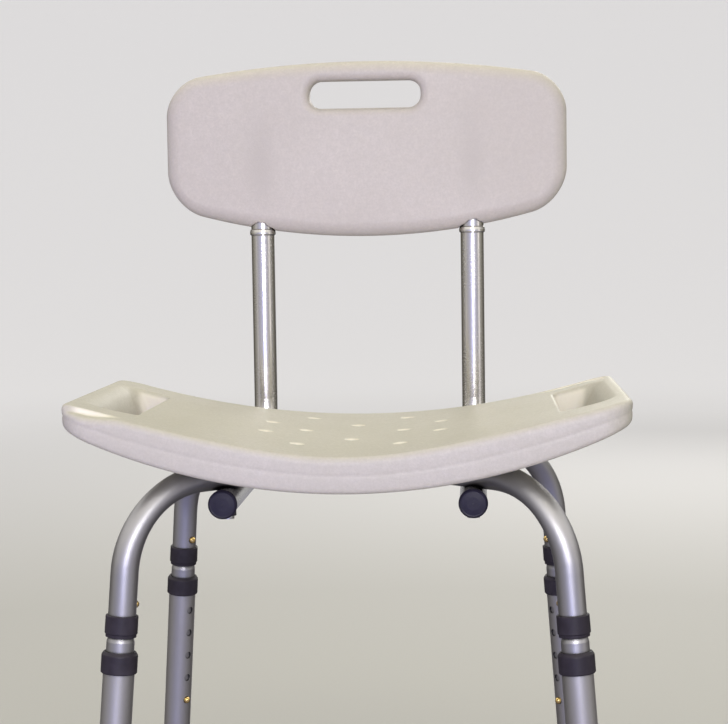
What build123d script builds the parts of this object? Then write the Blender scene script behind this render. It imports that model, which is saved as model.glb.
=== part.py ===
from build123d import *
import os
from math import atan2, cos, degrees, hypot, pi, radians, sin, sqrt, tan

# Shower chair with a blow-moulded seat and backrest on a crossed aluminium frame with adjustable legs.
# Millimetres. +Z is up, +Y is towards the backrest and +X is to the right of somebody facing the chair.
# The origin is on the floor, under the middle of the whole chair.

# ---- driving dimensions ----
collar_height = 252.0  # the four upper leg collars' centres above the floor
leg_half_x = 203.2  # the leg axes at collar height, left and right of the middle
leg_half_y = 174.7  # the leg axes at collar height, before and behind the leg base's middle
leg_tilt = radians(5.43)  # how far each leg leans outwards, along its own diagonal
base_y = -12.6  # the leg base's middle, so that the whole chair is centred on the origin
run_height = collar_height + 125.5  # centre line of the crossed tubes under the seat

tube_od = 25.4
tube_wall = 1.5
lower_od = 28.6
lower_bore = 25.5
bend_radius = 86.0
bend_flat = 1.5  # how much a bend flattens in its own plane, on the radius
bend_spread = 0.9  # how much it spreads the other way, on the radius
fit_gap = 0.05  # radial clearance between pieces that slide or fit together

lap_half_width = 15.9  # each crossed tube is pressed flat where the two pass each other
lap_half_thick = 6.25
lap_flat_end = 23.0
lap_round_end = 56.0
lap_stations = (lap_flat_end, 34.0, 46.0, lap_round_end)

hole_pitch = 25.4
height_steps = 4
hole_radius = 3.9
button_radius = 3.5
flange_radius = 4.6
flange_thick = 1.0
button_proud = 4.0
upper_button_z = 19.0  # positions along a leg, from the upper collar's centre
lower_button_z = -161.3
upper_collar_half = 9.8
lower_collar_z = -33.0
lower_collar_half = 9.8
insert_top_z = 46.0
insert_bottom_z = -186.0
lower_top_z = -26.0
lower_bottom_z = -246.5

back_half_x = 115.0
back_run_height = collar_height + 103.2
back_front_y = base_y - 131.0
back_y = base_y + 221.4
back_bend = 64.0
back_top = collar_height + 478.0
bead_height = collar_height + 347.0
bead_radius = 14.2

seat_half_x = 258.5
seat_front_y = base_y - 176.0
seat_rear_y = base_y + 128.0
seat_corner = 30.0
seat_wall = 3.0
seat_front_top = collar_height + 151.3  # the upper and lower faces on the middle line, past the front edge
seat_front_low = collar_height + 117.5
seat_rear_top = collar_height + 159.7  # and past the rear edge
seat_rear_low = collar_height + 123.7
seat_overrun = 10.0  # how far past the edges those heights are given
seat_top_edge = 7.0
seat_low_edge = 6.0
slot_x = 210.0
slot_half_x = 14.0
slot_half_y = 84.0
slot_y = base_y - 22.0
slot_corner = 13.0
drain_y = base_y - 14.0
drain_radius = 5.5

rest_half_x = 218.5
rest_thick = 33.0
rest_top = collar_height + 534.5
rest_bottom = collar_height + 344.5
rest_top_arc = 1200.0
rest_bottom_arc = 700.0
rest_shoulder = 38.0
rest_edge = 15.0
grip_z = collar_height + 498.5
grip_half_x = 60.8
grip_half_z = 15.0
grip_corner = 13.5
screw_heights = (collar_height + 395.0, collar_height + 455.0)
screw_radius = 2.5
socket_wall = 2.5

bolt_radius = 3.0
bolt_hole = 3.25
bolt_head = 3.0
bolt_head_radius = 6.0
washer_radius = 8.0
saddle_thick = 2.5  # under the back tube's lowest line
insert_height = 14.0
insert_radius = 4.5
channel_radius = 13.4
channel_reach = 224.0
hub_radius = 26.0
hub_rise = 18.0  # above the crossed tubes' centre line

# ---- values that follow ----
frame_angle = atan2(leg_half_y, leg_half_x)
leg_reach = hypot(leg_half_x, leg_half_y)
bolt_reach = back_half_x / cos(frame_angle)
bolt_half_y = back_half_x * tan(frame_angle)
tube_radius = tube_od / 2
plug_bore = tube_radius - tube_wall
insert_bore = plug_bore - fit_gap - tube_wall
bend_swing = pi / 2 - leg_tilt
bend_corner = leg_reach - (run_height - collar_height) * tan(leg_tilt)
bend_run = bend_radius * tan(bend_swing / 2)
BOTTOM = (Align.CENTER, Align.CENTER, Align.MIN)
LEGS = {"front_left": (-1, -1), "front_right": (1, -1), "rear_left": (-1, 1), "rear_right": (1, 1)}
SIDES = {"left": -1, "right": 1}
UP = Vector(0, 0, 1)


def save(node, shape):
    """Writes one piece, or a group of identical fasteners, as one STEP file."""
    shape.label = node
    export_step(shape, f"parts/{node}.step")


def rod(start, end, radius):
    """A solid cylinder from one point to another."""
    line = Vector(*end) - Vector(*start)
    return Plane(origin=start, z_dir=line) * Cylinder(radius, line.length, align=BOTTOM)


def disc(radius, low, high):
    """A solid cylinder on the Z axis between two heights."""
    return Pos(0, 0, low) * Cylinder(radius, high - low, align=BOTTOM)


def turned(points):
    """A solid of revolution about Z from (radius, height) points."""
    outline = Polyline(*[(r, 0, z) for r, z in points], close=True)
    return revolve(make_face(outline), Axis.Z, 360)


def leg_plane(side, end):
    """One leg's own frame: origin on its axis at the upper collar, +Z up the leg, +X facing inwards."""
    inward = Vector(-side * cos(frame_angle), -end * sin(frame_angle), 0)
    up = inward * sin(leg_tilt) + UP * cos(leg_tilt)
    facing = inward * cos(leg_tilt) - UP * sin(leg_tilt)
    origin = Vector(side * leg_half_x, base_y + end * leg_half_y, collar_height)
    return Plane(origin=origin, x_dir=facing, z_dir=up)


# ---- the crossed frame tubes ----
def diagonal_point(angle, u, z):
    """A point at u along a crossed tube's line, in plan, and at height z."""
    return Vector(u * cos(angle), base_y + u * sin(angle), z)


def oval(angle, u, z, slope, half_wide, half_tall):
    """An oval tube section across the diagonal at u, whose centre line climbs by slope."""
    along = Vector(cos(angle) * cos(slope), sin(angle) * cos(slope), sin(slope))
    across = Vector(-sin(angle), cos(angle), 0)
    plane = Plane(origin=diagonal_point(angle, u, z), x_dir=across, z_dir=along)
    return plane * Ellipse(half_wide, half_tall)


def bend_solid(angle, end, inset):
    """One flattened bend between a leg and the run under the seat."""
    stations = 8
    sections = []
    for k in range(stations + 1):
        turn = bend_swing * k / stations
        press = sin(pi * k / stations) ** 2
        u = bend_corner - bend_run + bend_radius * sin(turn)
        z = run_height - bend_radius * (1 - cos(turn))
        wide = tube_radius + bend_spread * press - inset
        tall = tube_radius - bend_flat * press - inset
        sections.append(oval(angle, end * u, z, -end * turn, wide, tall))
    return loft(sections)


def lap_solid(angle, lift, inset):
    """The pressed middle of a crossed tube, raised or lowered so that the two tubes pass."""
    sections = []
    for u in (*(-u for u in reversed(lap_stations)), 0.0, *lap_stations):
        share = min(1.0, (lap_round_end - abs(u)) / (lap_round_end - lap_flat_end))
        press = share * share * (3 - 2 * share)
        wide = tube_radius + (lap_half_width - tube_radius) * press - inset
        tall = tube_radius + (lap_half_thick - tube_radius) * press - inset
        sections.append(oval(angle, u, run_height + lift * press, 0, wide, tall))
    return loft(sections)


def frame_tube_body(angle, lift, inset):
    """The crossed tube's outside for inset 0, or its bore for the wall's thickness."""
    radius = tube_radius - inset
    body = lap_solid(angle, lift, inset)
    for end in (-1, 1):
        near = diagonal_point(angle, end * lap_round_end, run_height)
        far = diagonal_point(angle, end * (bend_corner - bend_run), run_height)
        top_reach = bend_corner + bend_run * sin(leg_tilt)
        top = diagonal_point(angle, end * top_reach, run_height - bend_run * cos(leg_tilt))
        outward = Vector(end * cos(angle) * sin(leg_tilt), end * sin(angle) * sin(leg_tilt), -cos(leg_tilt))
        foot = diagonal_point(angle, end * leg_reach, collar_height) + outward * (upper_collar_half - 1.8)
        body += rod(near, far, radius) + bend_solid(angle, end, inset) + rod(top, foot, radius)
    return body


def cross_tube(angle, lift):
    """One of the two crossed tubes, from a front leg, under the seat, to the rear leg across."""
    tube = frame_tube_body(angle, lift, 0.0) - frame_tube_body(angle, lift, tube_wall)
    for u in (-bolt_reach, 0.0, bolt_reach):
        centre = diagonal_point(angle, u, run_height - tube_od)
        tube -= Pos(*centre) * Cylinder(bolt_hole, 2 * tube_od, align=BOTTOM)
    for side, end in LEGS.values():
        if side * end * sin(angle) * cos(angle) > 0:
            tube -= leg_plane(side, end) * radial_hole(upper_button_z, hole_radius)
    return tube


def radial_hole(z, radius):
    """A cutter through one tube wall, on the side that faces inwards."""
    return Pos(0, 0, z) * Rot(0, 90, 0) * Cylinder(radius, 30.0, align=BOTTOM)


# ---- one leg, in its own frame ----
def leg_insert():
    """Inner leg tube: its reduced top plugs into the frame tube, and the lower tube slides on the rest."""
    top_radius = plug_bore - fit_gap
    body = turned(
        [
            (0, insert_bottom_z),
            (tube_radius, insert_bottom_z),
            (tube_radius, -14.5),
            (tube_radius - 0.5, -12.4),
            (top_radius, -9.6),
            (top_radius, insert_top_z - 2),
            (top_radius - 1, insert_top_z),
            (0, insert_top_z),
        ]
    )
    bore = turned(
        [
            (0, insert_bottom_z - 1),
            (tube_radius - tube_wall, insert_bottom_z - 1),
            (tube_radius - tube_wall, -15.5),
            (top_radius - tube_wall, -10.6),
            (top_radius - tube_wall, insert_top_z + 1),
            (0, insert_top_z + 1),
        ]
    )
    body -= bore
    body -= radial_hole(upper_button_z, button_radius + 0.1)
    return body - radial_hole(lower_button_z, button_radius + 0.1)


def upper_collar():
    """Plastic ring on the end of the frame tube, with a narrower lip round the insert."""
    snug = tube_radius + fit_gap
    return turned(
        [
            (snug, -7.9),
            (snug, upper_collar_half),
            (14.2, upper_collar_half),
            (14.8, upper_collar_half - 0.8),
            (14.9, -6.4),
            (14.0, -7.4),
            (13.9, -upper_collar_half),
            (snug, -upper_collar_half),
        ]
    )


def lower_collar():
    """Plastic ring on the top of the lower tube. Its inner lip covers the tube's end."""
    low = lower_collar_z - lower_collar_half
    high = lower_collar_z + lower_collar_half
    grip = lower_od / 2 + fit_gap
    return turned(
        [
            (grip, low),
            (grip, lower_top_z + fit_gap),
            (lower_bore / 2, lower_top_z + fit_gap),
            (lower_bore / 2, high - 0.8),
            (lower_bore / 2 + 0.6, high),
            (14.6, high),
            (16.3, high - 2.6),
            (16.5, high - 3.6),
            (16.5, low + 1.0),
            (15.6, low),
        ]
    )


def lower_tube():
    """Outer leg tube, with the row of holes that sets the height."""
    body = disc(lower_od / 2, lower_bottom_z, lower_top_z) - disc(lower_bore / 2, -300.0, 0.0)
    for step in range(height_steps + 1):
        body -= radial_hole(lower_button_z + step * hole_pitch, hole_radius)
    return body


def foot_tip():
    """Ribbed rubber foot, still square to the leg and longer than needed at the bottom."""
    floor = -collar_height / cos(leg_tilt)
    top = floor + 44.0
    grip = lower_od / 2 + fit_gap
    bottom = floor - 6.0
    outline = [(0, bottom), (23.2, bottom), (23.2, floor + 6.0), (20.6, floor + 12.0), (18.4, floor + 15.5)]
    for rib in range(4):
        height = floor + 18.0 + 6.0 * rib
        outline += [(17.6, height), (18.6, height + 1.2), (18.6, height + 3.2), (17.4, height + 4.4)]
    outline += [(17.2, top), (grip, top), (grip, lower_bottom_z - 2.2), (0, lower_bottom_z - 2.2)]
    return turned(outline)


def tip_washer():
    """Steel disc between the lower tube's end and the rubber."""
    return disc(14.0, lower_bottom_z - 2.1, lower_bottom_z - fit_gap) - disc(4.0, -300.0, 0.0)


def flange_place(bore):
    """How far from the leg's axis a button's flange rests against the tube's curved inner wall."""
    return sqrt(bore**2 - flange_radius**2) - fit_gap


def snap_button(z, bore, outer):
    """Brass button with a domed head, and a flange that stops it inside its tube."""
    flange = flange_place(bore)
    shoulder = outer + button_proud - button_radius
    body = disc(flange_radius, flange - flange_thick, flange) + disc(button_radius, flange - 0.5, shoulder)
    body += Pos(0, 0, shoulder) * Sphere(button_radius)
    return Pos(0, 0, z) * Rot(0, 90, 0) * body


def snap_spring(z, bore):
    """Bent leaf spring that pushes a button outwards and bears on the tube's far wall."""
    thick = 0.6
    width = 7.0
    front = flange_place(bore) - flange_thick - fit_gap
    back = fit_gap - sqrt(bore**2 - (width / 2) ** 2)
    tail = 30.0
    upright = Pos(front - thick / 2, 0, z - 2.0) * Box(thick, width, 12.0)
    rear = Plane(origin=(0, -width / 2, 0), x_dir=(1, 0, 0), z_dir=(0, 1, 0)) * make_face(
        Polyline(
            (front - thick, -(z - 8.0)),
            (front, -(z - 8.0)),
            (front * 0.55, -(z - tail)),
            (back, -(z - tail + 6.0)),
            (back, -(z - 4.0)),
            (back + thick, -(z - 4.0)),
            (back + thick, -(z - tail + 6.4)),
            (front * 0.55 - thick, -(z - tail + 0.9)),
            close=True,
        )
    )
    return upright + extrude(rear, width)


# ---- back frame ----
def back_tube(side):
    """J-shaped tube: along under the seat, up behind it and into the backrest."""
    x = side * back_half_x
    corners = [(x, back_front_y, back_run_height), (x, back_y, back_run_height), (x, back_y, back_top)]
    path = FilletPolyline(*corners, radius=back_bend)
    start = Plane(origin=(x, back_front_y, back_run_height), z_dir=(0, 1, 0))
    outside = sweep(start * Circle(tube_radius), path=path)
    inside = sweep(start * Circle(plug_bore), path=path)
    bead = turned(
        [(12.0, -0.2), (13.5, 0.0), (bead_radius, 1.2), (bead_radius, 3.2), (13.6, 6.0), (12.0, 7.5)]
    )
    outside += Pos(x, back_y, bead_height) * bead
    for end in (-1, 1):
        angle = frame_angle * side * end
        across = [diagonal_point(angle, side * u, run_height) for u in (bolt_reach - 40, bolt_reach + 40)]
        outside -= rod(*across, tube_radius + 2 * fit_gap)
        inside -= rod(*across, tube_radius + tube_wall)
    tube = outside - inside
    for end in (-1, 1):
        tube -= Pos(x, base_y + end * bolt_half_y, back_run_height - tube_od) * Cylinder(
            bolt_hole, 2 * tube_od, align=BOTTOM
        )
    for z in screw_heights:
        rear = Plane(origin=(x, back_y, z), z_dir=(0, 1, 0))
        tube -= rear * Cylinder(screw_radius + fit_gap, 20.0, align=BOTTOM)
    return tube


def back_tube_plug(side):
    """Moulded end plug with a bevelled, slightly domed flange."""
    flange = 4.0
    body = turned(
        [
            (0, -16.0),
            (plug_bore - 1.4, -16.0),
            (plug_bore - fit_gap, -14.0),
            (plug_bore - fit_gap, 0),
            (13.5, 0),
            (13.5, flange - 1.6),
            (11.9, flange - 0.4),
            (11.0, flange - 0.6),
            (6.0, flange - 0.1),
            (0, flange),
        ]
    )
    return Plane(origin=(side * back_half_x, back_front_y, back_run_height), z_dir=(0, -1, 0)) * body


# ---- seat ----
def front_top(x):
    """Rise of the seat's front upper edge above its middle: round in the middle, straighter at the wings."""
    return sqrt(27.0**2 + (0.28 * x) ** 2) - 27.0


def arc_rise(x, radius):
    """How far an arc of that radius has risen at x from its lowest point."""
    return radius - sqrt(radius**2 - x**2)


def seat_section(y, tops, bottoms, half_x):
    """The seat's profile across the chair on a plane at y, from its upper and lower edges' points."""
    xs = [half_x * k / 4 for k in range(-4, 5)]
    upper = [(x, y, tops(x)) for x in xs]
    lower = [(x, y, bottoms(x)) for x in reversed(xs)]
    return make_face(
        Spline(*upper) + Line(upper[-1], lower[0]) + Spline(*lower) + Line(lower[-1], upper[0])
    )


def seat_form(inset):
    """The seat's outside for inset 0, or the hollow inside it."""
    front = seat_section(
        seat_front_y - seat_overrun,
        lambda x: seat_front_top + front_top(x) - inset,
        lambda x: seat_front_low + arc_rise(x, 575.0) + inset,
        seat_half_x + seat_overrun,
    )
    rear = seat_section(
        seat_rear_y + seat_overrun,
        lambda x: seat_rear_top + arc_rise(x, 850.0) - inset,
        lambda x: seat_rear_low + arc_rise(x, 780.0) + inset,
        seat_half_x + seat_overrun,
    )
    slab = loft([front, rear])
    plan = RectangleRounded(
        2 * (seat_half_x - inset), seat_rear_y - seat_front_y - 2 * inset, seat_corner - inset
    )
    middle = (seat_front_y + seat_rear_y) / 2
    form = slab & (Pos(0, middle, collar_height) * extrude(plan, 300.0))
    form = fillet(broad_faces(form)[1].edges(), seat_top_edge - inset)
    return fillet(broad_faces(form)[0].edges(), seat_low_edge - inset)


def broad_faces(form):
    """The seat form's underside and top, in that order."""
    return form.faces().sort_by(SortBy.AREA)[-2:].sort_by(Axis.Z)


def drain_places():
    """Twelve drain holes in five columns of two, three, two, three and two."""
    rows = {0: (-48, 48), 48: (-91, 0, 91), 84: (-34, 34)}
    for column, offsets in rows.items():
        for side in (-1, 1) if column else (1,):
            for offset in offsets:
                yield side * column, drain_y + offset


def channel_cutter(angle, extra):
    """The open groove in the seat's underside that holds one crossed tube."""
    radius = channel_radius + extra
    axis_z = run_height + tube_radius + 0.1 - channel_radius
    ends = [diagonal_point(angle, u, axis_z) for u in (-channel_reach, channel_reach)]
    groove = rod(*ends, radius)
    depth = 60.0
    top = (Align.CENTER, Align.CENTER, Align.MAX)
    slab = Box(2 * channel_reach, 2 * (radius - 0.2), depth, align=top)
    lap = Box(2 * lap_round_end + 4.0, 2 * (lap_half_width + 0.5 + extra), depth, align=top)
    turn = Rot(0, 0, degrees(angle))
    return groove + Pos(0, base_y, axis_z) * turn * slab + Pos(0, base_y, axis_z + radius) * turn * lap


def hand_slot(grow):
    """The two hand grips through the seat's wings."""
    shape = Sketch()
    for side in (-1, 1):
        shape += Pos(side * slot_x, slot_y) * RectangleRounded(
            2 * (slot_half_x + grow), 2 * (slot_half_y + grow), slot_corner + grow
        )
    return Pos(0, 0, collar_height) * extrude(shape, 300.0)


def bolt_places():
    """Where the four bolts stand that go through the back tubes and the crossed tubes."""
    return [(side * back_half_x, base_y + end * bolt_half_y) for side, end in LEGS.values()]


def seat():
    """Blow-moulded hollow seat with drain holes, hand grips and grooves for the frame."""
    hollow = seat_form(seat_wall)
    body = seat_form(0.0)
    keep = hand_slot(seat_wall)
    for angle in (frame_angle, -frame_angle):
        keep += channel_cutter(angle, seat_wall)
        body -= channel_cutter(angle, 0.0)
    for x, y in drain_places():
        keep += Pos(x, y, collar_height) * Cylinder(drain_radius + seat_wall, 300.0, align=BOTTOM)
        body -= Pos(x, y, collar_height) * Cylinder(drain_radius, 300.0, align=BOTTOM)
    for x, y in bolt_places():
        keep += Pos(x, y, collar_height) * Cylinder(8.0, 300.0, align=BOTTOM)
        body -= Pos(x, y, run_height) * Cylinder(insert_radius + fit_gap, tube_radius + 16.0, align=BOTTOM)
    hub_place = Pos(0, base_y, collar_height)
    hub_top = run_height - collar_height + hub_rise
    body -= hub_place * Cylinder(hub_radius, hub_top, align=BOTTOM)
    keep += hub_place * Cylinder(hub_radius + seat_wall, hub_top + seat_wall, align=BOTTOM)
    body -= hand_slot(0.0)
    return body - (hollow - keep)


# ---- backrest ----
def rest_form(inset):
    """The backrest's outside for inset 0, or the hollow inside it."""
    half = rest_half_x - inset
    top = rest_top - inset
    bottom = rest_bottom + inset
    top_side = top - arc_rise(half, rest_top_arc)
    bottom_side = bottom + arc_rise(half, rest_bottom_arc)
    outline = (
        ThreePointArc((-half, bottom_side), (0, bottom), (half, bottom_side))
        + Line((half, bottom_side), (half, top_side))
        + ThreePointArc((half, top_side), (0, top), (-half, top_side))
        + Line((-half, top_side), (-half, bottom_side))
    )
    face = make_face(outline)
    face = fillet(face.vertices(), rest_shoulder - inset)
    plane = Plane(origin=(0, back_y + rest_thick / 2 - inset, 0), x_dir=(1, 0, 0), z_dir=(0, -1, 0))
    slab = extrude(plane * face, rest_thick - 2 * inset)
    rims = slab.edges().filter_by(lambda e: abs(e.bounding_box().size.Y) < 0.01)
    return fillet(rims, rest_edge - inset)


def rest_grip(grow):
    """The hand grip through the backrest, grown by a wall where the hollow has to clear it."""
    shape = RectangleRounded(2 * (grip_half_x + grow), 2 * (grip_half_z + grow), grip_corner + grow)
    plane = Plane(origin=(0, back_y - 50.0, grip_z), x_dir=(1, 0, 0), z_dir=(0, 1, 0))
    return plane * extrude(shape, 100.0)


def backrest():
    """Blow-moulded hollow backrest with a hand grip and a socket for each back tube."""
    body = rest_form(0.0)
    hollow = rest_form(seat_wall)
    hollow -= rest_grip(seat_wall)
    body -= rest_grip(0.0)
    socket = tube_radius + fit_gap
    for side in (-1, 1):
        x = side * back_half_x
        hollow -= rod((x, back_y, rest_bottom - 10), (x, back_y, back_top + 4.0), socket + socket_wall)
        body -= rod((x, back_y, rest_bottom - 10), (x, back_y, back_top + 1.0), socket)
        mouth = Pos(x, back_y, bead_height - 8.0)
        body -= mouth * Cylinder(bead_radius + 0.1, 16.0, align=BOTTOM)
        hollow -= mouth * Cylinder(bead_radius + 0.1 + seat_wall, 16.0 + seat_wall, align=BOTTOM)
        for z in screw_heights:
            rear = Plane(origin=(x, back_y, z), z_dir=(0, 1, 0))
            hollow -= rear * Cylinder(6.0, 30.0, align=BOTTOM)
            body -= rear * Cylinder(screw_radius + fit_gap, 30.0, align=BOTTOM)
    return body - hollow


# ---- fasteners ----
def group(shapes):
    """Separate solids that share one node."""
    return Compound(children=list(shapes))


def seat_bolts():
    """Four bolts from below, through a back tube and a crossed tube, into the seat."""
    head = back_run_height - tube_radius - saddle_thick - fit_gap
    for x, y in bolt_places():
        bolt = disc(bolt_radius, head, run_height + tube_radius + 12.0)
        socket = Pos(0, 0, head - bolt_head) * extrude(RegularPolygon(2.4, 6), 1.8)
        bolt += disc(bolt_head_radius, head - bolt_head, head) - socket
        yield Pos(x, y, 0) * bolt


def saddle_washers():
    """Curved spacers that seat the bolt heads on the round back tubes."""
    low = back_run_height - tube_radius - saddle_thick
    for x, y in bolt_places():
        block = Pos(x, y, 0) * (disc(washer_radius, low, low + 5.0) - disc(bolt_hole, 0, 500.0))
        yield block - rod((x, y - 20, back_run_height), (x, y + 20, back_run_height), tube_radius + fit_gap)


def seat_inserts():
    """Threaded inserts moulded into the seat, shown with a plain bore."""
    low = run_height + tube_radius + 0.3
    for x, y in bolt_places():
        insert = disc(insert_radius, low, low + insert_height) - disc(bolt_radius + fit_gap, 0, 500.0)
        yield Pos(x, y, 0) * insert


def center_bolt():
    """Bolt through the two pressed tubes where they cross."""
    top = run_height + 2 * lap_half_thick + 0.25
    body = disc(bolt_radius, run_height - tube_radius - 8.0, top)
    body += disc(6.5, top, top + 3.6)
    return Pos(0, base_y, 0) * body


def center_nut():
    """Hexagonal nut on the centre bolt."""
    low = run_height - 2 * lap_half_thick - 0.3 - 6.0
    body = Pos(0, 0, low) * extrude(RegularPolygon(5.6, 6), 6.0) - disc(bolt_radius + fit_gap, 0, 500.0)
    return Pos(0, base_y, 0) * body


def backrest_screws():
    """Two pan-head screws behind each back tube."""
    for side in (-1, 1):
        for z in screw_heights:
            rear = back_y + rest_thick / 2
            screw = disc(screw_radius, -rest_thick / 2 + 8.0, fit_gap)
            screw += disc(4.6, fit_gap, 2.6) - Pos(0, 0, 1.2) * Box(1.2, 6.0, 4.0, align=BOTTOM)
            yield Plane(origin=(side * back_half_x, rear, z), z_dir=(0, 1, 0)) * screw


def on_floor(shape):
    """Cuts a foot off level with the floor."""
    return shape & Box(2000, 2000, 2000, align=BOTTOM)


def main():
    os.makedirs("parts", exist_ok=True)
    lift = lap_half_thick + fit_gap
    save("seat", seat())
    save("backrest", backrest())
    save("cross_tube_upper", cross_tube(frame_angle, lift))
    save("cross_tube_lower", cross_tube(-frame_angle, -lift))
    save("center_bolt", center_bolt())
    save("center_nut", center_nut())
    save("seat_bolts", group(seat_bolts()))
    save("saddle_washers", group(saddle_washers()))
    save("seat_inserts", group(seat_inserts()))
    save("backrest_screws", group(backrest_screws()))
    for name, side in SIDES.items():
        save(f"back_tube_{name}", back_tube(side))
        save(f"back_tube_plug_{name}", back_tube_plug(side))
    for name, (side, end) in LEGS.items():
        plane = leg_plane(side, end)
        save(f"leg_insert_{name}", plane * leg_insert())
        save(f"upper_collar_{name}", plane * upper_collar())
        save(f"lower_collar_{name}", plane * lower_collar())
        save(f"lower_tube_{name}", plane * lower_tube())
        save(f"foot_tip_{name}", on_floor(plane * foot_tip()))
        save(f"tip_washer_{name}", plane * tip_washer())
        save(f"upper_button_{name}", plane * snap_button(upper_button_z, insert_bore, tube_radius))
        save(f"lower_button_{name}", plane * snap_button(lower_button_z, plug_bore, lower_od / 2))
    planes = [leg_plane(side, end) for side, end in LEGS.values()]
    save("upper_springs", group(plane * snap_spring(upper_button_z, insert_bore) for plane in planes))
    save("lower_springs", group(plane * snap_spring(lower_button_z, plug_bore) for plane in planes))


main()
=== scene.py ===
import math
import bpy
import numpy as np
from mathutils import Matrix, Vector


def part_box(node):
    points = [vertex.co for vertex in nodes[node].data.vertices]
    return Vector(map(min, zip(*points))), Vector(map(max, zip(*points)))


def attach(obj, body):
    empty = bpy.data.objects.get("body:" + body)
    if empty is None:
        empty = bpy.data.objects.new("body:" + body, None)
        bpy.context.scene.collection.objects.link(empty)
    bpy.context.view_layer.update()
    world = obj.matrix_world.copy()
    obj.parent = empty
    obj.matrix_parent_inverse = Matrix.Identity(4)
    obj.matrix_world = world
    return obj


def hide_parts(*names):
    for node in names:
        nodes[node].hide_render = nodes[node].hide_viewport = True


# Looks of the shower chair: moulded seat and backrest skins, and finishes for every piece.
# Shapes are worked out in millimetres and scaled to metres when a mesh is made.

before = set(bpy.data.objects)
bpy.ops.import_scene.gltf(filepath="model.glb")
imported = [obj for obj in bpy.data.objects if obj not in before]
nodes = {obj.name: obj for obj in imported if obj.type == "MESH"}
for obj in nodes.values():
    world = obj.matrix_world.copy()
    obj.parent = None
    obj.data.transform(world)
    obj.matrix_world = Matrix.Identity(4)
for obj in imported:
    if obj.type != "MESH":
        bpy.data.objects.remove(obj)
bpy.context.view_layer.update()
MM = 0.001


def millimetres(node):
    """A CAD node's lowest and highest corners in millimetres."""
    return [np.array(corner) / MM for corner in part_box(node)]


# ---- shapes from signed distances, negative inside ----
def rounded_and(a, b, radius):
    """What two solids share, with the edge where they meet rounded."""
    corner = np.hypot(np.maximum(a + radius, 0), np.maximum(b + radius, 0))
    return np.minimum(np.maximum(a, b), -radius) + corner


def rounded_cut(a, b, radius):
    """Solid a without solid b, with the edge of the cut rounded."""
    return rounded_and(a, -b, radius)


def rounded_rectangle(x, y, half_x, half_y, corner):
    """Distance from a rectangle about the origin with rounded corners."""
    over_x = np.abs(x) - half_x + corner
    over_y = np.abs(y) - half_y + corner
    outside = np.hypot(np.maximum(over_x, 0), np.maximum(over_y, 0))
    return outside + np.minimum(np.maximum(over_x, over_y), 0) - corner


def smooth_step(value, start, end):
    """0 at start, 1 at end and an even curve between them."""
    share = np.clip((value - start) / (end - start), 0, 1)
    return share * share * (3 - 2 * share)


def bump(value, centre, width):
    """A bell curve, 1 at its centre."""
    return np.exp(-(((value - centre) / width) ** 2))


CORNERS = np.array([(i, j, k) for i in (0, 1) for j in (0, 1) for k in (0, 1)])
PAIRS = [(a, b) for a in range(8) for b in range(a + 1, 8)]
EDGES = [(a, b) for a, b in PAIRS if np.abs(CORNERS[a] - CORNERS[b]).sum() == 1]
QUAD_CORNERS = ((1, 1), (0, 1), (0, 0), (1, 0))


def shifted(grid, offset, size):
    """A grid's values moved by offset, cut to size."""
    i, j, k = offset
    return grid[i : i + size[0], j : j + size[1], k : k + size[2]]


def surface_net(distance, low, high, step):
    """Points and quads on the zero surface of distance, one point in each grid cell that it crosses."""
    axes = [np.arange(a, b + step, step) for a, b in zip(low, high)]
    x, y, z = np.meshgrid(*axes, indexing="ij", sparse=True)
    field = distance(x, y, z).astype(np.float32)
    inside = field < 0
    size = [n - 1 for n in field.shape]
    count = sum(shifted(inside, offset, size).astype(np.int8) for offset in CORNERS)
    active = (count > 0) & (count < 8)
    cells = np.argwhere(active)
    number = np.full(size, -1, np.int64)
    number[active] = np.arange(len(cells))
    values = np.stack([field[tuple((cells + offset).T)] for offset in CORNERS], axis=1).astype(float)
    total = np.zeros((len(cells), 3))
    hits = np.zeros(len(cells))
    for a, b in EDGES:
        crossed = (values[:, a] < 0) != (values[:, b] < 0)
        share = np.where(crossed, values[:, a] / np.where(crossed, values[:, a] - values[:, b], 1), 0)
        total += crossed[:, None] * (CORNERS[a] + share[:, None] * (CORNERS[b] - CORNERS[a]))
        hits += crossed
    points = np.array(low) + step * (cells + total / hits[:, None])
    return points, net_quads(inside, number)


def net_quads(inside, number):
    """One quad round each grid edge that leaves the solid, facing outwards."""
    quads = []
    for axis in range(3):
        u, v = np.eye(3, dtype=int)[(axis + 1) % 3], np.eye(3, dtype=int)[(axis + 2) % 3]
        here = np.moveaxis(inside, axis, 0)
        found = np.argwhere(np.moveaxis(here[:-1] != here[1:], 0, axis))
        leaves = inside[tuple(found.T)]
        corners = [number[tuple((found - s * u - t * v).T)] for s, t in QUAD_CORNERS]
        ring = np.stack(corners, axis=1)
        quads.append(np.where(leaves[:, None], ring, ring[:, ::-1]))
    return np.concatenate(quads)


def settle(points, distance, rounds=4):
    """Moves points onto the zero surface along the distance's slope."""
    reach = 0.05
    least_slope = 0.05
    longest_move = 1.0
    for _ in range(rounds):
        value = distance(*points.T)
        slope = np.zeros_like(points)
        for axis in range(3):
            nudge = np.zeros(3)
            nudge[axis] = reach
            ahead = distance(*(points + nudge).T)
            behind = distance(*(points - nudge).T)
            slope[:, axis] = (ahead - behind) / (2 * reach)
        length = np.maximum((slope**2).sum(axis=1), least_slope)
        move = np.clip(value / length, -longest_move, longest_move)
        points = points - move[:, None] * slope
    return points


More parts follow.
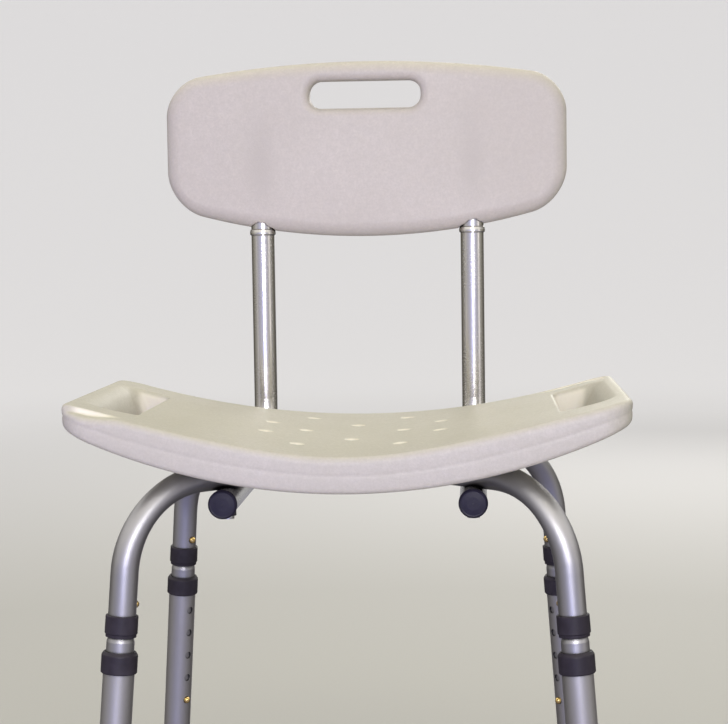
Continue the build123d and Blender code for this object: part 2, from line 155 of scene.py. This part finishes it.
def mesh_piece(name, points, faces):
    """A Blender object from points in millimetres and faces of four corners each."""
    mesh = bpy.data.meshes.new(name)
    mesh.vertices.add(len(points))
    mesh.vertices.foreach_set("co", (points * MM).astype(np.float32).ravel())
    mesh.loops.add(faces.size)
    mesh.loops.foreach_set("vertex_index", faces.astype(np.int32).ravel())
    mesh.polygons.add(len(faces))
    mesh.polygons.foreach_set("loop_start", np.arange(0, faces.size, 4, dtype=np.int32))
    mesh.update(calc_edges=True)
    mesh.validate()
    mesh.shade_smooth()
    piece = bpy.data.objects.new(name, mesh)
    bpy.context.scene.collection.objects.link(piece)
    return piece


def moulded(name, distance, node, step):
    """A moulded skin that stands for a CAD node and rides on its body."""
    low, high = millimetres(node)
    margin = 4 * step
    points, faces = surface_net(distance, low - margin, high + margin, step)
    piece = mesh_piece(name, settle(points, distance), faces)
    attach(piece, "chair")
    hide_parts(node)
    return piece


def store(piece, name, values):
    """Keeps a number for each of a piece's points, for its material."""
    layer = piece.data.attributes.new(name, "FLOAT", "POINT")
    layer.data.foreach_set("value", values.astype(np.float32))


# ---- the seat ----
seat_low, seat_high = millimetres("seat")
SEAT_HALF_X = (seat_high[0] - seat_low[0]) / 2
SEAT_HALF_Y = (seat_high[1] - seat_low[1]) / 2
SEAT_MIDDLE_Y = (seat_high[1] + seat_low[1]) / 2
SEAT_CORNER = 30.0
tube_low, tube_high = millimetres("cross_tube_upper")
BASE_Y = (tube_low[1] + tube_high[1]) / 2
COLLAR_Z = 252.0
RUN_Z = COLLAR_Z + 125.5
LEG_HALF_X = 203.2
LEG_HALF_Y = 174.7
DIAGONAL = math.atan2(LEG_HALF_Y, LEG_HALF_X)
TUBE_RADIUS = 12.7
CHANNEL_RADIUS = 13.4
CHANNEL_Z = RUN_Z + TUBE_RADIUS + 0.1 - CHANNEL_RADIUS
CHANNEL_REACH = 224.0
GRIP_INNER_X = 196.0
DRAIN_Y = BASE_Y - 14.0
DRAIN_RADIUS = 5.3
DRAIN_ROWS = {0: (-48, 48), 48: (-91, 0, 91), 84: (-34, 34)}  # distance from the middle: places along Y

# Heights above the upper collars, and the curves across the seat, at its front and rear.
TOP_FRONT_HEIGHT = 151.3
TOP_FRONT_FLAT = 27.0
TOP_FRONT_SLOPE = 0.28
TOP_REAR_HEIGHT = 159.7
TOP_REAR_ARC = 850.0
BOTTOM_FRONT_HEIGHT = 117.5
BOTTOM_FRONT_ARC = 575.0
BOTTOM_REAR_HEIGHT = 123.7
BOTTOM_REAR_ARC = 780.0

# The hand grips' openings, which flare towards the top.
GRIP_HALF_X = 14.5
GRIP_HALF_Y = 92.0
GRIP_FLARE_X = 8.5
GRIP_FLARE_Y = 2.5
GRIP_FLARE_DEPTH = 15.0
GRIP_FORWARD = 22.0
GRIP_CORNER = 6.0
GRIP_OUTER_CORNER_MORE = 9.0

CORNER_STEP_DEPTH = 5.5
CORNER_GROOVE_DEPTH = 2.4
HUB_RADIUS = 26.0
HUB_HEIGHT = 18.0

# The side wall's shape, and how round each edge of the seat is.
SIDE_LOBE = 0.5
PARTING_DEPTH = 0.45
PARTING_WIDTH = 0.9
SIDE_DRAFT = 0.08
TOP_ROUND = 6.5
BOTTOM_ROUND = 4.5
GRIP_ROUND = 2.0
GRIP_ROUND_MORE = 4.0
DRAIN_ROUND = 2.8
CHANNEL_ROUND = 2.5


def arc_rise(x, radius):
    """How far an arc of this radius has risen at x from its lowest point."""
    return radius - np.sqrt(radius**2 - x**2)


def seat_top(x, share):
    """Height of the sitting surface. share is 0 at the front and 1 at the rear."""
    front = TOP_FRONT_HEIGHT + np.sqrt(TOP_FRONT_FLAT**2 + (TOP_FRONT_SLOPE * x) ** 2) - TOP_FRONT_FLAT
    rear = TOP_REAR_HEIGHT + arc_rise(x, TOP_REAR_ARC)
    return COLLAR_Z + front + (rear - front) * share


def seat_bottom(x, share):
    """Height of the underside. share is 0 at the front and 1 at the rear."""
    front = BOTTOM_FRONT_HEIGHT + arc_rise(x, BOTTOM_FRONT_ARC)
    rear = BOTTOM_REAR_HEIGHT + arc_rise(x, BOTTOM_REAR_ARC)
    return COLLAR_Z + front + (rear - front) * share


def drain_holes(x, y):
    """Distance in plan from the nearest of the twelve drain holes."""
    nearest = np.full(np.broadcast(x, y).shape, 1e3)
    for column, offsets in DRAIN_ROWS.items():
        for offset in offsets:
            nearest = np.minimum(nearest, np.hypot(np.abs(x) - column, y - DRAIN_Y - offset))
    return nearest - DRAIN_RADIUS


def hand_grip(x, y, depth):
    """Distance from the hand grip's opening: steep inside edge and ends, scooped outboard edge."""
    flare = np.exp(-np.maximum(depth, 0) / GRIP_FLARE_DEPTH)
    half_x = GRIP_HALF_X + GRIP_FLARE_X * flare
    half_y = GRIP_HALF_Y + GRIP_FLARE_Y * flare
    across = np.abs(x) - GRIP_INNER_X
    corner = GRIP_CORNER + GRIP_OUTER_CORNER_MORE * smooth_step(across, 14, 32)
    return rounded_rectangle(across - half_x, y - BASE_Y + GRIP_FORWARD, half_x, half_y, corner)


def corner_steps(x, y, edge):
    """Depth of the front left corner's step and the rear right corner's groove, and a mask of their far
    walls, where the seat gets painted highlight.
    """
    front = y - SEAT_MIDDLE_Y + SEAT_HALF_Y
    rear = smooth_step(y - SEAT_MIDDLE_Y, SEAT_HALF_Y - 45, SEAT_HALF_Y - 20)
    rear_right = rear * smooth_step(x, 175, 205)
    groove = smooth_step(-edge, 7.5, 10.5)
    depth = CORNER_STEP_DEPTH * smooth_step(front, 20, 14) * smooth_step(-x, 197, 236)
    depth = depth + CORNER_GROOVE_DEPTH * groove * smooth_step(-edge, 22, 13) * rear_right
    far_wall = bump(front, 17, 2.6) * smooth_step(-x, 200, 216) * smooth_step(-x, 250, 240)
    return depth, far_wall + bump(-edge, 9, 1.8) * rear_right


def frame_channels(x, y, z):
    """Distance from the open grooves in the underside that hold the crossed tubes, and their hub."""
    nearest = np.hypot(x, y - BASE_Y) - HUB_RADIUS
    nearest = np.maximum(nearest, z - RUN_Z - HUB_HEIGHT)
    for angle in (DIAGONAL, -DIAGONAL):
        along = x * math.cos(angle) + (y - BASE_Y) * math.sin(angle)
        across = np.abs(-x * math.sin(angle) + (y - BASE_Y) * math.cos(angle))
        groove = np.hypot(across, np.maximum(z - CHANNEL_Z, 0)) - CHANNEL_RADIUS
        nearest = np.minimum(nearest, np.maximum(groove, np.abs(along) - CHANNEL_REACH))
    return nearest


def plan_edge(x, y):
    """Distance in plan from the seat's outline, negative inside."""
    return rounded_rectangle(x, y - SEAT_MIDDLE_Y, SEAT_HALF_X, SEAT_HALF_Y, SEAT_CORNER)


def rise_share(y):
    """0 at the seat's front and 1 at its rear."""
    return (y - SEAT_MIDDLE_Y + SEAT_HALF_Y + 10) / (2 * SEAT_HALF_Y + 20)


def rub_marks_and_painted_highlight(piece):
    """How pale each point of the seat is painted, as painted highlight on the far walls of the drain holes
    and corner steps and on the hand grips' rear walls.
    """
    points = np.empty(3 * len(piece.data.vertices))
    piece.data.vertices.foreach_get("co", points)
    x, y, z = points.reshape(-1, 3).T / MM
    depth = seat_top(x, rise_share(y)) - z
    drains = smooth_step(drain_holes(x, y), 2.4, 0.2) * smooth_step(depth, 9, 5)
    grip_end = smooth_step(y - BASE_Y, 62, 69) * smooth_step(hand_grip(x, y, depth), 3.5, 1.0)
    grip_end = 0.75 * grip_end * smooth_step(depth, 1, 5) * smooth_step(np.abs(x) - GRIP_INNER_X, 36, 28)
    far_wall = corner_steps(x, y, plan_edge(x, y))[1] * smooth_step(depth, 8, 4)
    return np.clip(drains + grip_end + far_wall, 0, 1)


def seat_distance(x, y, z):
    """Distance from the seat's surface."""
    share = rise_share(y)
    edge = plan_edge(x, y)
    top = seat_top(x, share)
    bottom = seat_bottom(x, share)
    middle = (top + bottom) / 2
    lobe = 2 * np.abs(z - middle) / (top - bottom) * 2 - 1
    side = edge + SIDE_LOBE * np.clip(lobe, -1, 1) ** 2
    side = side + PARTING_DEPTH * bump(z, middle, PARTING_WIDTH)
    side = side + SIDE_DRAFT * np.maximum(middle - z, 0)
    body = rounded_and(side, z - top + corner_steps(x, y, edge)[0], TOP_ROUND)
    body = rounded_and(body, bottom - z, BOTTOM_ROUND)
    grip_rim = GRIP_ROUND + GRIP_ROUND_MORE * smooth_step(np.abs(x) - GRIP_INNER_X, 3, 20)
    body = rounded_cut(body, hand_grip(x, y, top - z), grip_rim)
    body = rounded_cut(body, drain_holes(x, y), DRAIN_ROUND)
    return rounded_cut(body, frame_channels(x, y, z), CHANNEL_ROUND)


# ---- the backrest ----
rest_low, rest_high = millimetres("backrest")
REST_HALF_X = (rest_high[0] - rest_low[0]) / 2
REST_HALF_Y = (rest_high[1] - rest_low[1]) / 2
REST_Y = (rest_high[1] + rest_low[1]) / 2
REST_TOP_ARC = 1200.0
REST_BOTTOM_ARC = 700.0
REST_SHOULDER = 38.0
REST_EDGE = 15.5
BACK_HALF_X = 115.0
REST_GRIP_Z = COLLAR_Z + 498.5
SOCKET_TOP = COLLAR_Z + 479.0
REST_GRIP_HALF_X = 60.8
REST_GRIP_HALF_Z = 15.0
REST_GRIP_CORNER = 13.5
REST_GRIP_ROUND = 9.5
SOCKET_RADIUS = 12.8
SOCKET_ROUND = 0.4
BEAD_POCKET_RADIUS = 14.3
BEAD_POCKET_DEPTH = 10.5
BEAD_POCKET_ROUND = 0.6
SINK_DEPTH = 0.25
SINK_WIDTH = 11.0


def rest_distance(x, y, z):
    """Distance from the backrest's surface. Its walls sink a little over the tubes' sockets."""
    top = rest_high[2] - arc_rise(x, REST_TOP_ARC)
    bottom = rest_low[2] + arc_rise(x, REST_BOTTOM_ARC)
    outline = rounded_and(np.abs(x) - REST_HALF_X, np.maximum(z - top, bottom - z), REST_SHOULDER)
    sink = SINK_DEPTH * bump(np.abs(x), BACK_HALF_X, SINK_WIDTH)
    sink = sink * smooth_step(z, SOCKET_TOP + 8, SOCKET_TOP - 30)
    body = rounded_and(outline, np.abs(y - REST_Y) - REST_HALF_Y + sink, REST_EDGE)
    grip = rounded_rectangle(x, z - REST_GRIP_Z, REST_GRIP_HALF_X, REST_GRIP_HALF_Z, REST_GRIP_CORNER)
    body = rounded_cut(body, grip, REST_GRIP_ROUND)
    tube = np.hypot(np.abs(x) - BACK_HALF_X, y - REST_Y)
    pocket = np.maximum(tube - BEAD_POCKET_RADIUS, z - rest_low[2] - BEAD_POCKET_DEPTH)
    body = rounded_cut(body, pocket, BEAD_POCKET_ROUND)
    return rounded_cut(body, np.maximum(tube - SOCKET_RADIUS, z - SOCKET_TOP), SOCKET_ROUND)


# ---- finishes ----
class Finish:
    """A node material that starts from a Principled shader."""

    def __init__(self, name):
        self.material = bpy.data.materials.new(name)
        self.material.use_nodes = True
        self.tree = self.material.node_tree
        self.shader = self.tree.nodes["Principled BSDF"]
        self.place = self.add("ShaderNodeTexCoord").outputs["Object"]

    def add(self, kind, inputs=None, **settings):
        node = self.tree.nodes.new(kind)
        for key, value in settings.items():
            setattr(node, key, value)
        for key, value in (inputs or {}).items():
            self.feed(value, node.inputs[key])
        return node

    def feed(self, value, socket):
        if isinstance(value, bpy.types.NodeSocket):
            self.tree.links.new(value, socket)
        else:
            socket.default_value = value

    def set(self, **inputs):
        for key, value in inputs.items():
            self.feed(value, self.shader.inputs[key.replace("_", " ")])

    def noise(self, scale, detail=3.0, stretch=None):
        """Noise in metres: scale is the number of features in a metre."""
        place = self.place
        if stretch:
            place = self.add("ShaderNodeMapping", {"Vector": place, "Scale": stretch}).outputs[0]
        inputs = {"Vector": place, "Scale": scale, "Detail": detail}
        return self.add("ShaderNodeTexNoise", inputs).outputs["Fac"]

    def range(self, value, low, high, start=0.3, end=0.7):
        """value, between start and end, turned into low to high."""
        inputs = {"Value": value, "From Min": start, "From Max": end, "To Min": low, "To Max": high}
        return self.add("ShaderNodeMapRange", inputs).outputs[0]

    def mix(self, share, first, second):
        mixer = self.add("ShaderNodeMix", data_type="RGBA")
        self.feed(share, mixer.inputs["Factor"])
        self.feed(first, mixer.inputs[6])
        self.feed(second, mixer.inputs[7])
        return mixer.outputs[2]

    def math(self, operation, a, b=0.0):
        node = self.add("ShaderNodeMath", operation=operation)
        self.feed(a, node.inputs[0])
        self.feed(b, node.inputs[1])
        return node.outputs[0]

    def painted_shade(self, tone, distance):
        """Painted shade: tone darkened where something else comes within distance, as in holes and joints."""
        inputs = {"Distance": distance}
        near = self.add("ShaderNodeAmbientOcclusion", inputs, samples=6).outputs["AO"]
        dark = self.mix(0.93, tone, rgb(0.012, 0.011, 0.013))
        return self.mix(self.range(near, 0.0, 1.0, 0.30, 0.85), dark, tone)

    def relief(self, height, distance, strength=1.0, below=None):
        """A bump node's normal. distance is the height's full step in metres."""
        inputs = {"Height": height, "Distance": distance, "Strength": strength}
        if below:
            inputs["Normal"] = below
        return self.add("ShaderNodeBump", inputs).outputs[0]


def rgb(red, green, blue):
    """An opaque colour."""
    return (red, green, blue, 1.0)


def scaled(colour, factor):
    """A colour made darker or lighter, up to white."""
    return rgb(*(min(1.0, factor * c) for c in colour[:3]))


def moulded_plastic(name, colour, shade, bands=False):
    """Satin polyethylene with a fine pebble grain, faint flow marks and scuffs, painted highlight where a
    stored point attribute says, and painted shade over the backrest's sockets when asked.
    """
    finish = Finish(name)
    cloud = finish.noise(9.0, 2.0)
    speckle = finish.noise(420.0, 2.0)
    pebble = finish.noise(1100.0, 1.0)
    mottle = finish.noise(150.0, 3.0)
    tone = finish.mix(finish.range(cloud, 0.0, 1.0), colour, shade)
    tone = finish.mix(finish.range(mottle, 0.0, 0.55), tone, scaled(shade, 0.90))
    tone = finish.mix(finish.range(speckle, 0.0, 0.6), tone, scaled(shade, 0.88))
    # Painted highlight: paler colour where the seat's stored attribute marks far walls that face the front
    # light.
    rub_marks_and_painted_highlight = finish.add("ShaderNodeAttribute", attribute_name="rub_marks_and_painted_highlight").outputs["Fac"]
    tone = finish.mix(rub_marks_and_painted_highlight, tone, scaled(colour, 1.5))
    # Painted shade in bands over the backrest's tube sockets.
    if bands:
        tone = finish.mix(painted_socket_shade(finish), tone, scaled(shade, 0.83))
    rough = finish.math("ADD", finish.range(cloud, 0.42, 0.50), finish.range(speckle, -0.04, 0.05))
    normal = finish.relief(pebble, 0.00022, 0.55)
    normal = finish.relief(speckle, 0.0004, 0.25, normal)
    finish.set(Base_Color=tone, Roughness=rough, Normal=normal, Specular_IOR_Level=0.42)
    finish.set(Subsurface_Weight=0.12, Subsurface_Radius=(0.006, 0.005, 0.004), Subsurface_Scale=0.6)
    return finish.material


def painted_socket_shade(finish):
    """How much painted shade darkens the backrest's wall in bands where the tubes' sockets touch it."""
    split = finish.add("ShaderNodeSeparateXYZ", {"Vector": finish.place})
    offset = finish.math("SUBTRACT", finish.math("ABSOLUTE", split.outputs["X"]), BACK_HALF_X * MM)
    band = finish.range(finish.math("ABSOLUTE", offset), 1.0, 0.0, 0.004, 0.020)
    height = finish.range(split.outputs["Z"], 1.0, 0.0, (SOCKET_TOP - 50) * MM, (SOCKET_TOP + 20) * MM)
    low = finish.range(split.outputs["Z"], 0.0, 1.0, (rest_low[2] + 15) * MM, (rest_low[2] + 70) * MM)
    within = finish.math("MULTIPLY", height, low)
    return finish.math("MULTIPLY", finish.math("MULTIPLY", band, within), 0.55)


def anodised(name, colour, roughness):
    """Satin anodised aluminium: even, slightly mottled, with fine rubbed marks and painted shade in holes and
    joints.
    """
    finish = Finish(name)
    cloud = finish.noise(14.0, 3.0)
    fine = finish.noise(900.0, 2.0)
    rub_marks_and_painted_highlight = finish.noise(160.0, 4.0, (1.0, 1.0, 0.12))
    tone = finish.mix(finish.range(cloud, 0.0, 1.0), colour, scaled(colour, 0.90))
    tone = finish.mix(finish.range(rub_marks_and_painted_highlight, 0.0, 0.35, 0.55, 0.8), tone, scaled(colour, 0.80))
    # Painted shade in holes and joints.
    tone = finish.painted_shade(tone, 0.005)
    patches = finish.range(cloud, roughness - 0.03, roughness + 0.04)
    rough = finish.math("ADD", patches, finish.range(fine, -0.03, 0.03))
    normal = finish.relief(fine, 0.00002, 0.4)
    normal = finish.relief(rub_marks_and_painted_highlight, 0.00003, 0.2, normal)
    finish.set(Base_Color=tone, Metallic=1.0, Roughness=rough, Normal=normal)
    return finish.material


def dark_plastic(name, colour, roughness):
    """Moulded dark plastic with a fine matt grain and paler rubbed spots."""
    finish = Finish(name)
    cloud = finish.noise(60.0, 3.0)
    grain = finish.noise(1500.0, 2.0)
    worn = rgb(*(min(1.0, 1.9 * c + 0.02) for c in colour[:3]))
    tone = finish.mix(finish.range(cloud, 0.0, 0.35, 0.45, 0.75), colour, worn)
    patches = finish.range(cloud, roughness, roughness + 0.12)
    rough = finish.math("ADD", patches, finish.range(grain, -0.05, 0.05))
    normal = finish.relief(grain, 0.00012, 0.5)
    finish.set(Base_Color=tone, Roughness=rough, Normal=normal, Specular_IOR_Level=0.34)
    return finish.material


def rubber(name, colour):
    """Matt rubber with a dusty bloom near the floor."""
    finish = Finish(name)
    split = finish.add("ShaderNodeSeparateXYZ", {"Vector": finish.place})
    cloud = finish.noise(70.0, 4.0)
    grain = finish.noise(1300.0, 2.0)
    near_floor = finish.range(split.outputs["Z"], 1.0, 0.0, 0.0, 0.02)
    dust = finish.math("MULTIPLY", near_floor, finish.range(cloud, 0.1, 0.7))
    tone = finish.mix(dust, colour, rgb(0.26, 0.25, 0.24))
    rough = finish.range(cloud, 0.62, 0.82)
    finish.set(Base_Color=tone, Roughness=rough, Normal=finish.relief(grain, 0.0002, 0.6))
    return finish.material


def metal(name, colour, tarnish, roughness):
    """Small bare metal parts, with tarnish in patches and fine tool marks."""
    finish = Finish(name)
    cloud = finish.noise(220.0, 4.0)
    fine = finish.noise(2200.0, 2.0)
    tone = finish.mix(finish.range(cloud, 0.0, 0.7, 0.45, 0.75), colour, tarnish)
    patches = finish.range(cloud, roughness, roughness + 0.14)
    rough = finish.math("ADD", patches, finish.range(fine, -0.03, 0.03))
    finish.set(Base_Color=tone, Metallic=1.0, Roughness=rough, Normal=finish.relief(fine, 0.00003, 0.4))
    return finish.material


def wear(material, *pieces):
    """Gives pieces a finish."""
    for piece in pieces:
        piece.data.materials.clear()
        piece.data.materials.append(material)


def family(*starts):
    """The CAD nodes whose names start with one of the given words."""
    return [nodes[name] for name in sorted(nodes) if name.startswith(starts)]


FINE_STEP = 1.5
STEP = FINE_STEP
seat = moulded("seat_skin", seat_distance, "seat", STEP)
rest = moulded("backrest_skin", rest_distance, "backrest", STEP)
# Where the seat is painted paler, as painted highlight, kept for its material.
store(seat, "rub_marks_and_painted_highlight", rub_marks_and_painted_highlight(seat))
seat_plastic = moulded_plastic("seat_plastic", rgb(0.58, 0.55, 0.485), rgb(0.545, 0.52, 0.445))
wear(seat_plastic, seat)
backrest_plastic = moulded_plastic("backrest_plastic", rgb(0.615, 0.57, 0.515), rgb(0.58, 0.54, 0.485), True)
wear(backrest_plastic, rest)
frame_aluminium = anodised("frame_aluminium", rgb(0.43, 0.425, 0.445), 0.44)
wear(frame_aluminium, *family("cross_tube", "leg_insert"))
back_tube_aluminium = anodised("back_tube_aluminium", rgb(0.73, 0.71, 0.68), 0.25)
wear(back_tube_aluminium, *family("back_tube_left", "back_tube_right"))
leg_aluminium = anodised("leg_aluminium", rgb(0.46, 0.45, 0.455), 0.50)
wear(leg_aluminium, *family("lower_tube"))
collar_plastic = dark_plastic("collar_plastic", rgb(0.019, 0.015, 0.022), 0.48)
wear(collar_plastic, *family("upper_collar", "lower_collar"))
plug_plastic = dark_plastic("plug_plastic", rgb(0.010, 0.008, 0.020), 0.42)
wear(plug_plastic, *family("back_tube_plug"))
washer_plastic = dark_plastic("washer_plastic", rgb(0.035, 0.034, 0.036), 0.45)
wear(washer_plastic, *family("saddle_washers"))
wear(rubber("tip_rubber", rgb(0.045, 0.043, 0.045)), *family("foot_tip"))
button_brass = metal("button_brass", rgb(0.80, 0.58, 0.22), rgb(0.42, 0.27, 0.10), 0.22)
wear(button_brass, *family("upper_button", "lower_button"))
insert_brass = metal("insert_brass", rgb(0.72, 0.56, 0.28), rgb(0.45, 0.33, 0.16), 0.35)
wear(insert_brass, *family("seat_inserts"))
spring_steel = metal("spring_steel", rgb(0.42, 0.42, 0.44), rgb(0.22, 0.21, 0.22), 0.30)
wear(spring_steel, *family("upper_springs", "lower_springs"))
fastener_steel = metal("fastener_steel", rgb(0.62, 0.62, 0.63), rgb(0.40, 0.39, 0.38), 0.28)
wear(fastener_steel, *family("seat_bolts", "center_", "backrest_screws", "tip_washer"))


# ---- floor, light and camera ----
MATT_LIGHT = 0.50
SHINY_LIGHT = 1.6
STRIP_POWER = {-1: 0.5, 1: 2.5}
STRIP_COLOUR = (1.0, 0.94, 0.92)
LENS = 90.09
SENSOR_WIDTH = 36.0
CAMERA_PLACE = (0.12292, -1.7926, 0.61409)


def turned_sheet(name, profile, finish):
    """A staged sheet of revolution about Z from (radius, height) points."""
    turns = 96
    verts = []
    for radius, z in profile:
        for k in range(turns):
            angle = 2 * math.pi * k / turns
            verts.append((radius * math.cos(angle), radius * math.sin(angle), z))
    faces = []
    for ring in range(len(profile) - 1):
        for k in range(turns):
            a, b = ring * turns + k, ring * turns + (k + 1) % turns
            faces.append((a, a + turns, b + turns, b))
    mesh = bpy.data.meshes.new(name)
    mesh.from_pydata(verts, [], faces)
    mesh.shade_smooth()
    mesh.materials.append(finish)
    piece = bpy.data.objects.new(name, mesh)
    bpy.context.scene.collection.objects.link(piece)
    piece.visible_glossy = False
    return piece


def pale_paper():
    """Pale backdrop paper that isn't seen from behind or below."""
    finish = Finish("pale_paper")
    speckle = finish.noise(260.0, 3.0)
    finish.set(Base_Color=finish.mix(speckle, rgb(0.66, 0.655, 0.65), rgb(0.63, 0.625, 0.62)), Roughness=0.8)
    reach = finish.add("ShaderNodeVectorMath", {0: finish.place}, operation="LENGTH").outputs["Value"]
    glow = finish.range(reach, 0.0, 0.36, 1.2, 4.5)
    finish.set(Emission_Color=rgb(0.98, 0.97, 0.97), Emission_Strength=glow)
    backside = finish.add("ShaderNodeNewGeometry").outputs["Backfacing"]
    clear = finish.add("ShaderNodeBsdfTransparent").outputs[0]
    mixer = finish.add("ShaderNodeMixShader", {0: backside, 1: finish.shader.outputs[0], 2: clear})
    finish.tree.links.new(mixer.outputs[0], finish.tree.nodes["Material Output"].inputs["Surface"])
    return finish.material


def floor():
    """A pale floor that sweeps up into a distant backdrop. The backdrop keeps no light from the chair."""
    flat, sweep, height = 4.0, 3.0, 7.0
    paper = pale_paper()
    sheet = turned_sheet("floor", [(0.001, 0.0), (flat, 0.0)], paper)
    profile = []
    for step in range(13):
        angle = math.pi / 2 * step / 12
        profile.append((flat + sweep * math.sin(angle), sweep * (1 - math.cos(angle))))
    profile.append((flat + sweep, height))
    backdrop = turned_sheet("backdrop", profile, paper)
    backdrop.visible_diffuse = False
    backdrop.visible_shadow = False
    return sheet


def softbox(name, place, target, size, power, colour):
    """A rectangular lamp at place that faces target."""
    data = bpy.data.lights.new(name, "AREA")
    data.shape = "RECTANGLE"
    data.size, data.size_y = size
    data.energy = power
    data.color = colour
    lamp = bpy.data.objects.new(name, data)
    lamp.location = place
    lamp.rotation_mode = "QUATERNION"
    lamp.rotation_quaternion = (Vector(target) - Vector(place)).to_track_quat("-Z", "Y")
    bpy.context.scene.collection.objects.link(lamp)
    return lamp


def keep_off(lamp, piece):
    """Stops a lamp from lighting a piece."""
    spared = bpy.data.collections.new(f"{lamp.name}_spares")
    spared.objects.link(piece)
    spared.collection_objects[0].light_linking.link_state = "EXCLUDE"
    lamp.light_linking.receiver_collection = spared


def ramp(tree, value, stops):
    """A colour ramp through (position, colour) stops."""
    node = tree.nodes.new("ShaderNodeValToRGB")
    elements = node.color_ramp.elements
    while len(elements) < len(stops):
        elements.new(0.5)
    for element, (position, colour) in zip(elements, stops):
        element.position = position
        element.color = rgb(*colour)
    tree.links.new(value, node.inputs[0])
    return node.outputs[0]


def mixed(tree, kind, first, second):
    """Two colours mixed by a blend kind."""
    node = tree.nodes.new("ShaderNodeMix")
    node.data_type = "RGBA"
    node.blend_type = kind
    node.inputs["Factor"].default_value = 1.0
    tree.links.new(first, node.inputs[6])
    tree.links.new(second, node.inputs[7])
    return node.outputs[2]


def surroundings():
    """Soft even light for matt surfaces. Shiny ones see a room that is bright in front and dark behind."""
    world = bpy.data.worlds.new("studio")
    world.use_nodes = True
    tree = world.node_tree
    place = tree.nodes.new("ShaderNodeTexCoord").outputs["Generated"]
    split = tree.nodes.new("ShaderNodeSeparateXYZ")
    tree.links.new(place, split.inputs[0])
    share = {}
    for axis in "YZ":
        turn = tree.nodes.new("ShaderNodeMapRange")
        turn.inputs["From Min"].default_value = -1.0
        tree.links.new(split.outputs[axis], turn.inputs["Value"])
        share[axis] = turn.outputs[0]
    depth_stops = [(0.0, (0.46, 0.47, 0.70)), (0.06, (0.36, 0.36, 0.46)), (0.25, (0.33, 0.32, 0.32))]
    depth_stops += [(0.5, (0.25, 0.24, 0.21)), (0.85, (0.05, 0.045, 0.035)), (0.93, (0.09, 0.085, 0.08))]
    depth_stops.append((1.0, (0.38, 0.38, 0.38)))
    depth = ramp(tree, share["Y"], depth_stops)
    height_stops = [(0.30, (0.60, 0.59, 0.72)), (0.5, (1.0, 1.0, 1.0)), (0.75, (1.0, 0.97, 0.90))]
    height = ramp(tree, share["Z"], height_stops)
    above = ramp(tree, share["Z"], [(0.56, (0.0,) * 3), (0.70, (0.74, 0.72, 0.68)), (1.0, (1.0, 0.96, 0.87))])
    room = mixed(tree, "LIGHTEN", mixed(tree, "MULTIPLY", depth, height), above)
    matt = tree.nodes["Background"]
    matt.inputs["Color"].default_value = rgb(1.0, 0.98, 0.98)
    matt.inputs["Strength"].default_value = MATT_LIGHT
    shiny = tree.nodes.new("ShaderNodeBackground")
    shiny.inputs["Strength"].default_value = SHINY_LIGHT
    tree.links.new(room, shiny.inputs["Color"])
    rays = tree.nodes.new("ShaderNodeLightPath")
    mixer = tree.nodes.new("ShaderNodeMixShader")
    tree.links.new(rays.outputs["Is Glossy Ray"], mixer.inputs[0])
    tree.links.new(matt.outputs[0], mixer.inputs[1])
    tree.links.new(shiny.outputs[0], mixer.inputs[2])
    tree.links.new(mixer.outputs[0], tree.nodes["World Output"].inputs["Surface"])
    bpy.context.scene.world = world


def camera():
    """Looks at the chair slightly from the right and from above, with a long lens."""
    yaw, pitch, roll = 0.0641, 0.0778, 0.0149
    ahead = Vector((-math.sin(yaw) * math.cos(pitch), math.cos(yaw) * math.cos(pitch), -math.sin(pitch)))
    right = Vector((math.cos(yaw), math.sin(yaw), 0.0))
    down = ahead.cross(right)
    side = math.cos(roll) * right + math.sin(roll) * down
    down = math.cos(roll) * down - math.sin(roll) * right
    data = bpy.data.cameras.new("camera")
    data.lens = LENS
    data.sensor_width = SENSOR_WIDTH
    view = bpy.data.objects.new("camera", data)
    turn = Matrix((side, -down, -ahead)).transposed()
    view.matrix_world = Matrix.Translation(CAMERA_PLACE) @ turn.to_4x4()
    bpy.context.scene.collection.objects.link(view)
    bpy.context.scene.camera = view


ground = floor()
surroundings()
front = softbox("front", (0.34, -2.4, 1.05), (0, 0, 0.45), (0.9, 0.9), 30.5, (1.0, 0.975, 0.975))
low_front = softbox("low_front", (-0.6, -2.1, 0.12), (-0.1, 0, 0.33), (1.2, 0.5), 23.0, (0.46, 0.40, 1.0))
low_front.visible_glossy = False
keep_off(low_front, ground)
keep_off(front, ground)
softbox("overhead", (0.1, 0.2, 2.6), (0, 0, 0.4), (2.2, 1.8), 15.0, (1.0, 0.96, 0.52))
for side in (-1, 1):
    place = (2.5 * side, -0.9, 0.7)
    strip = softbox(f"strip_{side}", place, (0, 0, 0.35), (0.6, 1.4), STRIP_POWER[side], STRIP_COLOUR)
    strip.visible_diffuse = False
glow = softbox("glow", (0.1, -2.4, 0.3), (0, 0, 0.25), (0.8, 0.3), 2.5, (0.25, 0.30, 1.0))
glow.visible_diffuse = False
softbox("rear", (0.8, 2.8, 1.6), (0, 0, 0.5), (1.4, 1.2), 18.0, (1.0, 0.98, 0.96))
camera()
bpy.context.scene.view_settings.view_transform = "Standard"
